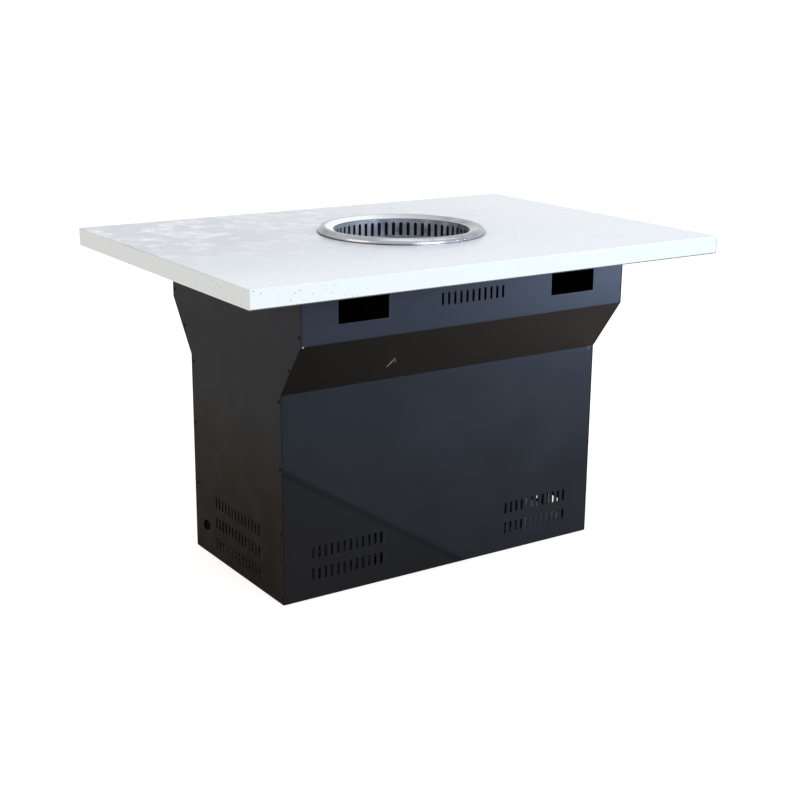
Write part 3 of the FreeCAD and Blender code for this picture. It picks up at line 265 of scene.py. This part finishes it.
def stoneHairline(tree, place):
    start, end = Vector(stone["hairlineFrom"]), Vector(stone["hairlineTo"])
    run = end - start
    along = addNode(tree, "Mapping", {"vector_type": "TEXTURE"}, {
        "Vector": place, "Location": ((start + end) / 2).to_3d(),
        "Rotation": (0, 0, math.atan2(run.y, run.x)),
        "Scale": (run.length / 2, stone["hairlineWidth"] / 2, 1),
    })
    off = split(tree, along.outputs[0])
    within = maths(tree, "ABSOLUTE", off["X"])
    beside = maths(tree, "ABSOLUTE", off["Y"])
    return fade(tree, maths(tree, "MAXIMUM", within, beside), *stone["hairlineFade"])


def stonePits(tree, place, edge):
    feeds = {"Vector": place, "Scale": 1 / stone["pitSize"], "Randomness": stone["pitScatter"]}
    cells = addNode(tree, "TexVoronoi", feeds=feeds)
    holes = fade(tree, cells.outputs["Distance"], *stone["pitFade"])
    toCorner = addNode(tree, "VectorMath", {"operation": "DISTANCE"},
                       {0: place, 1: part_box("stone_slab")[0]})
    fewer = fade(tree, toCorner.outputs["Value"], *stone["cornerFade"])
    return maths(tree, "MULTIPLY", maths(tree, "MULTIPLY", holes, fewer), edge)


# Painted shadow: the lowest arris of the front edge, and the upright one at the right end of it,
# darkened as shade.
def stoneArrisShadow(tree, axes):
    normal = facing(tree)
    front = fade(tree, normal["Y"], *stone["facesFront"])
    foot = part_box("apron_front")[0][2]
    lowest = fade(tree, axes["Z"], foot + stone["arrisInner"], foot + stone["arrisOuter"])
    lowFront = maths(tree, "MULTIPLY", lowest, front)
    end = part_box("apron_right")[1][0]
    atEnd = fade(tree, axes["X"], end - stone["arrisInner"], end - stone["arrisOuter"], 0.0,
                 stone["arrisEnd"])
    notEnd = fade(tree, normal["X"], *stone["facesEnd"])
    return maths(tree, "MAXIMUM", lowFront, maths(tree, "MULTIPLY", atEnd, notEnd))


def makeStone():
    material, tree, surface = newMaterial("polished white stone")
    place = objectPlace(tree)
    axes = split(tree, place)
    leftward = fade(tree, axes["X"], *stone["leftward"])
    backward = fade(tree, axes["Y"], *stone["backward"])
    # Painted shade: the top greys toward the left and the far side, where less light falls; the
    # stone's grey clouds show only within it.
    paintedShadeLeftBack = maths(tree, "MULTIPLY", leftward, backward)
    colour = mixed(tree, paintedShadeLeftBack, srgb(stone["body"]), srgb(stone["dull"]))

    cloudy = greyRamp(tree, noise(tree, place, *stone["clouds"]), stone["cloudStops"])
    cloudyBack = maths(tree, "MULTIPLY", cloudy, paintedShadeLeftBack)
    colour = mixed(tree, cloudyBack, colour, srgb(stone["cloud"]))
    grain = noise(tree, place, *stone["grain"])
    specks = greyRamp(tree, grain, stone["grainStops"])
    colour = mixed(tree, specks, colour, srgb(stone["cloud"]))
    streaks = noise(tree, place, *stone["streaks"])
    milky = greyRamp(tree, streaks, stone["milkStops"])
    splashed = maths(tree, "MULTIPLY", leftward, fade(tree, axes["Y"], *stone["splash"]))
    colour = mixed(tree, maths(tree, "MULTIPLY", milky, splashed), colour, srgb(stone["milk"]))
    colour = mixed(tree, stoneHairline(tree, place), colour, srgb(stone["hairline"]))

    # Below the top face the stone is only sawn and rubbed: warmer, with pits.
    top = stoneTop()
    edge = fade(tree, axes["Z"], top - stone["edgeFrom"], top - stone["edgeTo"])
    colour = mixed(tree, edge, colour, srgb(stone["edge"]))
    pits = stonePits(tree, place, edge)
    colour = mixed(tree, pits, colour, srgb(stone["pit"]))
    colour = mixed(tree, stoneArrisShadow(tree, axes), colour, srgb(stone["arris"]))

    polish = fade(tree, streaks, *stone["polish"])
    roughness = maths(tree, "ADD", polish, maths(tree, "MULTIPLY", edge, stone["sawn"]))
    finishSurface(tree, surface, colour, roughness, maths(tree, "SUBTRACT", grain, pits),
                  stone["relief"], {"IOR": stone["ior"], "Specular IOR Level": stone["gloss"]})
    return material


# Satin black powder coat: a baked plastic skin whose matting agent scatters most of the gloss, so
# that it shows soft, dim reflections. Smears of dust grey it. Light and shade are painted in: it is
# lighter toward the upper right, with a bluish painted sheen below the top, and painted shade darkens
# it toward the floor, low on the left end and on the faces that look down; the shade in the seams
# along the folded corners is painted black.
powder = {
    "high": "#262a30", "low": "#25272a", "shaded": "#201f20", "streak": "#111112",
    "dustAndLight": "#2c3036", "band": "#363d49", "under": "#171615", "underRight": "#2e2a29",
    "seamShade": "#040404", "bare": "#c9c9c6",
    # painted shade up the left end panel: heights and colours, darkest and brownest at the floor
    "leftEndShade": ((0.08, "#0b0504"), (0.26, "#1b1711"), (0.41, "#272a2e"), (0.56, "#2c3034"),
                (0.64, "#363940")),
    "peel": (3 * mm, 2), "patches": (170 * mm, 4), "smears": (60 * mm, 4),
    "smearStops": ((0.45, 0.0), (0.75, 0.3)),
    # the patches times the first and plus the second shift the height at which the coat changes
    "wander": (0.2, -0.1),
    "raised": (0.12, 0.4), "rightward": (-0.4, 0.4), "bandRise": (0.588, 0.6, 0.0, 0.6),
    # the streak on the front: fall for each metre to the right, height at x = 0, then its fades
    "fall": 0.635, "streakHeight": 0.0325, "belowStreak": (0.02, -0.02, 0.0, 0.8),
    "streakFade": (16 * mm, 0.0, 0.0, 0.6),
    # how far a normal turns before a face counts as one that looks that way
    "facesLeft": (-0.4, -0.8), "facesFront": (-0.9, -0.98), "facesDown": (-0.1, -0.45),
    "facesEnd": (0.7, 0.9),
    # the seam: heights of the two folds, depth from the middle below them, and its fade inward
    "lowFold": 0.472, "highFold": 0.593, "lowDepth": 0.212, "seamFade": (3.4 * mm, 1.7 * mm),
    "markBlur": (1.0, 0.7),
    "ior": 1.5, "gloss": 0.04, "satin": (0.3, 0.75, 0.3, 0.42), "relief": (0.1, 0.1 * mm),
}
marks = {
    # name: middle, direction, half length, half width, how strong
    "scratch": ((-0.1745, -0.2445, 0.5167), (13.4, -18.3, 25.1), 18 * mm, 1.1 * mm, 0.75),
    "scratchFork": ((-0.1650, -0.2470, 0.5200), (-9.0, -16.0, 22.0), 9 * mm, 0.8 * mm, 0.4),
    "chip": ((-0.4210, -0.3000, 0.5920), (1, 0, 0), 3 * mm, 2.5 * mm, 1.0),
    "rub": ((0.4120, -0.2120, 0.4690), (1, 0, 1), 7 * mm, 4 * mm, 0.12),
}


# On the front, a soft dark streak falls to the right, and the corner below it is painted darker as
# shade.
def addStreak(tree, colour, axes, normal):
    front = fade(tree, normal["Y"], *powder["facesFront"])
    fall = maths(tree, "MULTIPLY_ADD", axes["X"], powder["fall"], -powder["streakHeight"])
    above = maths(tree, "ADD", axes["Z"], fall)
    corner = maths(tree, "MULTIPLY", fade(tree, above, *powder["belowStreak"]), front)
    colour = mixed(tree, corner, colour, srgb(powder["shaded"]))
    off = maths(tree, "ABSOLUTE", above)
    streak = fade(tree, off, *powder["streakFade"], shape="SMOOTHSTEP")
    return mixed(tree, maths(tree, "MULTIPLY", streak, front), colour, srgb(powder["streak"]))


# The end panels stop short of the front and rear ones; the shade in that gap is painted black along
# the end panels' edges.
def addSeams(tree, colour, axes, normal):
    highDepth = -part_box("front_panel")[0][1]
    reach = fade(tree, axes["Z"], powder["lowFold"], powder["highFold"], powder["lowDepth"], highDepth)
    inset = maths(tree, "SUBTRACT", reach, maths(tree, "ABSOLUTE", axes["Y"]))
    close = fade(tree, inset, *powder["seamFade"])
    ended = fade(tree, maths(tree, "ABSOLUTE", normal["X"]), *powder["facesEnd"])
    return mixed(tree, maths(tree, "MULTIPLY", close, ended), colour, srgb(powder["seamShade"]))


def addMarks(tree, colour, place):
    for middle, direction, halfLength, halfWidth, strength in marks.values():
        local = addNode(tree, "Mapping", {"vector_type": "TEXTURE"}, {
            "Vector": place, "Location": middle,
            "Rotation": Vector(direction).to_track_quat("X", "Z").to_euler(),
            "Scale": (halfLength, halfWidth, halfWidth),
        })
        away = addNode(tree, "VectorMath", {"operation": "LENGTH"}, {0: local.outputs[0]})
        worn = fade(tree, away.outputs["Value"], *powder["markBlur"], 0.0, strength)
        colour = mixed(tree, worn, colour, srgb(powder["bare"]))
    return colour


def makePowder():
    material, tree, surface = newMaterial("black powder coat")
    place = objectPlace(tree)
    axes = split(tree, place)
    normal = facing(tree)
    # Painted shade: the coat is darker and less blue toward the floor, at a height that the patches
    # make wander.
    patches = noise(tree, place, *powder["patches"])
    height = maths(tree, "ADD", axes["Z"], maths(tree, "MULTIPLY_ADD", patches, *powder["wander"]))
    raised = fade(tree, height, *powder["raised"], shape="SMOOTHSTEP")
    colour = mixed(tree, raised, srgb(powder["low"]), srgb(powder["high"]))
    # Painted shade: the left end darkens and browns toward the floor.
    left = fade(tree, normal["X"], *powder["facesLeft"])
    leftEndShade = ramp(tree, axes["Z"], [(spot, srgb(code)) for spot, code in powder["leftEndShade"]])
    colour = mixed(tree, left, colour, leftEndShade)

    # Smears of dust, and painted light: the upper coat lightens toward the right, where the light
    # falls.
    film = greyRamp(tree, noise(tree, place, *powder["smears"]), powder["smearStops"])
    rightward = fade(tree, axes["X"], *powder["rightward"])
    paintedLightRight = maths(tree, "MULTIPLY", rightward, raised)
    colour = mixed(tree, maths(tree, "MAXIMUM", film, paintedLightRight), colour, srgb(powder["dustAndLight"]))
    # Painted sheen: a bluish reflection on the band below the top, except on the left end.
    upper = fade(tree, axes["Z"], *powder["bandRise"])
    band = maths(tree, "MULTIPLY", upper, maths(tree, "SUBTRACT", 1.0, left))
    colour = mixed(tree, band, colour, srgb(powder["band"]))
    colour = addStreak(tree, colour, axes, normal)

    # Painted shade: faces that look down are dark and brown, less so toward the right.
    down = fade(tree, normal["Z"], *powder["facesDown"])
    under = mixed(tree, rightward, srgb(powder["under"]), srgb(powder["underRight"]))
    colour = mixed(tree, down, colour, under)
    colour = addSeams(tree, colour, axes, normal)
    colour = addMarks(tree, colour, place)

    finishSurface(tree, surface, colour, fade(tree, patches, *powder["satin"]),
                  noise(tree, place, *powder["peel"]), powder["relief"],
                  {"IOR": powder["ior"], "Specular IOR Level": powder["gloss"]})
    return material


# Polished stainless ring: spun and buffed, so its marks run round it. Its foot is painted dark as
# the shade where it meets the stone, and the slope into the well has a painted highlight at the left.
ringSteel = {
    "bright": "#a9acb1", "dull": "#7f8287", "dishGlare": "#f6f8fc", "footShade": "#4b4640",
    "marks": (1.6 * mm, 2), "haze": (60 * mm, 4), "marksShare": 0.45,
    "dullStop": 0.36, "brightStop": 0.55,
    # fades by radius, and along x
    "dishFade": (178 * mm, 173 * mm), "litFade": (0.17, 0.02),
    "footShadeFade": (0.0, -0.12, 0.15, 1.0),
    # heights above the stone between which the foot's painted shade ends
    "footFrom": 4 * mm, "footTo": 1 * mm,
    "metallic": 1.0, "polish": (0.0, 1.0, 0.32, 0.2), "relief": (0.05, 0.1 * mm),
}


def makeRingSteel():
    material, tree, surface = newMaterial("buffed stainless steel")
    place = objectPlace(tree)
    axes = split(tree, place)
    low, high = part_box("trim_ring")
    middle = ((low[0] + high[0]) / 2, (low[1] + high[1]) / 2, 0)
    flat = addNode(tree, "CombineXYZ", feeds={"X": axes["X"], "Y": axes["Y"]})
    fromMiddle = addNode(tree, "VectorMath", {"operation": "DISTANCE"},
                         {0: flat.outputs[0], 1: middle})
    radius = fromMiddle.outputs["Value"]
    rings = addNode(tree, "CombineXYZ", feeds={"X": radius, "Z": axes["Z"]})
    marksRound = noise(tree, rings.outputs[0], *ringSteel["marks"])
    haze = noise(tree, place, *ringSteel["haze"])
    worked = addNode(tree, "Mix", {"data_type": "FLOAT"},
                     {0: ringSteel["marksShare"], 2: haze, 3: marksRound}).outputs[0]
    colour = ramp(tree, worked, ((ringSteel["dullStop"], srgb(ringSteel["dull"])),
                                 (ringSteel["brightStop"], srgb(ringSteel["bright"]))))

    # Painted highlight: the slope into the well is near white at the left.
    within = fade(tree, radius, *ringSteel["dishFade"])
    lit = fade(tree, axes["X"], *ringSteel["litFade"])
    colour = mixed(tree, maths(tree, "MULTIPLY", within, lit), colour, srgb(ringSteel["dishGlare"]))
    # Painted shade where the ring meets the stone, strongest at the left.
    seat = stoneTop()
    foot = fade(tree, axes["Z"], seat + ringSteel["footFrom"], seat + ringSteel["footTo"])
    footShadeLeftward = fade(tree, axes["X"], *ringSteel["footShadeFade"])
    colour = mixed(tree, maths(tree, "MULTIPLY", foot, footShadeLeftward), colour, srgb(ringSteel["footShade"]))
    finishSurface(tree, surface, colour, fade(tree, worked, *ringSteel["polish"]), marksRound,
                  ringSteel["relief"], {"Metallic": ringSteel["metallic"]})
    return material


# Brushed stainless collar: the brush ran up and down, and smoke has left a grey film on it. The film
# is left off at the left, which paints that side brighter as lit.
collarSteel = {
    "clean": "#c6cedb", "film": "#5d626b", "sootAndGlareFade": (0.0, 0.05, 0.0, 1.3),
    "brushSize": (2 * mm, 2 * mm, 40 * mm), "brush": (1.0, 4), "smoke": (25 * mm, 4),
    "brushShade": (0.3, 0.7, 0.85, 1.0),
    "metallic": 1.0, "satin": (0.0, 1.0, 0.42, 0.6), "relief": (0.5, 0.02 * mm),
}


def scaledPlace(tree, sizes):
    feeds = {"Vector": objectPlace(tree), "Scale": [1 / size for size in sizes]}
    return addNode(tree, "Mapping", feeds=feeds).outputs[0]


def makeCollarSteel():
    material, tree, surface = newMaterial("brushed stainless collar")
    place = objectPlace(tree)
    brushed = noise(tree, scaledPlace(tree, collarSteel["brushSize"]), *collarSteel["brush"])
    smoke = noise(tree, place, *collarSteel["smoke"])
    # Smoke film, and painted light: the film fades out toward the left, so that side shows bright as
    # lit.
    sootAndGlare = fade(tree, split(tree, place)["X"], *collarSteel["sootAndGlareFade"])
    film = maths(tree, "MULTIPLY", sootAndGlare, smoke, clamp=True)
    steel = mixed(tree, film, srgb(collarSteel["clean"]), srgb(collarSteel["film"]))
    shade = fade(tree, brushed, *collarSteel["brushShade"])
    shaded = addNode(tree, "VectorMath", {"operation": "SCALE"}, {0: steel, "Scale": shade})
    finishSurface(tree, surface, shaded.outputs[0], fade(tree, brushed, *collarSteel["satin"]),
                  brushed, collarSteel["relief"], {"Metallic": collarSteel["metallic"]})
    return material


# The other finishes share one recipe: a pattern as large as the marks that the making leaves, which
# shifts colour and roughness a little and stands up by the depth given.
plain = {"scale": 1.0, "detail": 4, "darkStop": 0.3, "fullStop": 0.7, "roughFade": (0.3, 0.75),
         "rougher": 1.4, "bump": 0.5}
plainFinishes = {
    # slot or node: what it is, colour, darkest share, roughness, metallic, marks x y z mm, pattern,
    # depth mm, specular level where it isn't the usual half
    "smoke_drum": ("smoke blackened steel", "#1d1c1c", 0.7, 0.6, 0.4, (20, 20, 20), "TexNoise",
                   0.1),
    "drum_base": ("smoke blackened steel plate", "#1b1a1a", 0.7, 0.65, 0.4, (20, 20, 20),
                  "TexNoise", 0.1),
    "inner_steel": ("brushed stainless sheet", "#a9abad", 0.82, 0.34, 1.0, (4, 4, 60),
                    "TexNoise", 0.03),
    "cast_iron": ("sand cast iron, seasoned", "#211f1e", 0.6, 0.55, 0.0, (1.5, 1.5, 1.5),
                  "TexNoise", 0.3),
    "grid_steel": ("drawn stainless wire", "#bdbcb9", 0.8, 0.28, 1.0, (5, 5, 5), "TexNoise", 0.03),
    "black_screws": ("black oxide steel", "#101011", 0.75, 0.4, 0.0, (2, 2, 2), "TexNoise", 0.02,
                     0.1),
    "galvanised": ("galvanised sheet with spangle", "#a7adb1", 0.72, 0.4, 1.0, (14, 14, 14),
                   "TexVoronoi", 0.02),
    "foot_rubber": ("moulded rubber", "#161616", 0.7, 0.75, 0.0, (1.5, 1.5, 1.5), "TexNoise", 0.1),
    "zinc_fasteners": ("zinc plated steel", "#b3b2a8", 0.8, 0.3, 1.0, (3, 3, 3), "TexNoise", 0.02),
    "frame_paint": ("black primer on angle steel", "#18191b", 0.7, 0.6, 0.0, (4, 4, 4),
                    "TexNoise", 0.08),
    "board_wood": ("sanded plywood", "#a5835a", 0.7, 0.7, 0.0, (90, 5, 3), "TexNoise", 0.15),
    "filter_aluminium": ("mill finish aluminium mesh", "#c3c5c7", 0.7, 0.4, 1.0, (3, 3, 3),
                         "TexVoronoi", 0.4),
    "carbon_cassette": ("activated carbon granules", "#141414", 0.4, 0.85, 0.0, (3, 3, 3),
                        "TexVoronoi", 1.0),
    "shaft_steel": ("ground steel", "#b5b6b8", 0.85, 0.2, 1.0, (3, 3, 3), "TexNoise", 0.01),
    "cast_aluminium": ("die cast aluminium", "#9fa1a3", 0.8, 0.5, 1.0, (2, 2, 2), "TexNoise", 0.1),
    "core_steel": ("stacked steel laminations", "#565657", 0.5, 0.5, 1.0, (60, 60, 1),
                   "TexNoise", 0.1),
    "grey_plastic": ("moulded grey plastic", "#55585a", 0.85, 0.5, 0.0, (1.5, 1.5, 1.5),
                     "TexNoise", 0.03),
    "grommet_rubber": ("moulded black rubber", "#060606", 0.75, 0.7, 0.0, (1.5, 1.5, 1.5),
                       "TexNoise", 0.05, 0.04),
}


def makePlain(name, code, darkest, rough, metallic, marksMm, pattern, depthMm, gloss=0.5):
    material, tree, surface = newMaterial(name)
    place = scaledPlace(tree, [size * mm for size in marksMm])
    figure = addNode(tree, pattern, feeds={"Vector": place, "Scale": plain["scale"]})
    if pattern == "TexNoise":
        figure.inputs["Detail"].default_value = plain["detail"]
        level = figure.outputs["Fac"]
    else:
        level = addNode(tree, "SeparateColor", feeds={"Color": figure.outputs["Color"]}).outputs[0]
    base = srgb(code)
    darker = tuple(c * darkest for c in base[:3]) + (1.0,)
    colour = ramp(tree, level, ((plain["darkStop"], darker), (plain["fullStop"], base)))
    roughness = fade(tree, level, *plain["roughFade"], rough, min(1.0, rough * plain["rougher"]))
    finishSurface(tree, surface, colour, roughness, level, (plain["bump"], depthMm * mm),
                  {"Metallic": metallic, "Specular IOR Level": gloss})
    return material


# A node's own finish comes before that of its material slot.
def dressNodes():
    finishes = {name: makePlain(*look) for name, look in plainFinishes.items()}
    finishes.update(white_stone=makeStone(), powder_coat=makePowder(),
                    polished_steel=makeRingSteel(), slotted_collar=makeCollarSteel())
    slotOf = {part["node"]: part["material_slot"] for part in frame["record"]["subparts"]}
    for name, node in nodes.items():
        node.data.materials.clear()
        node.data.materials.append(finishes.get(name) or finishes[slotOf[name]])
    print("finishes made:", len(finishes))


dressNodes()
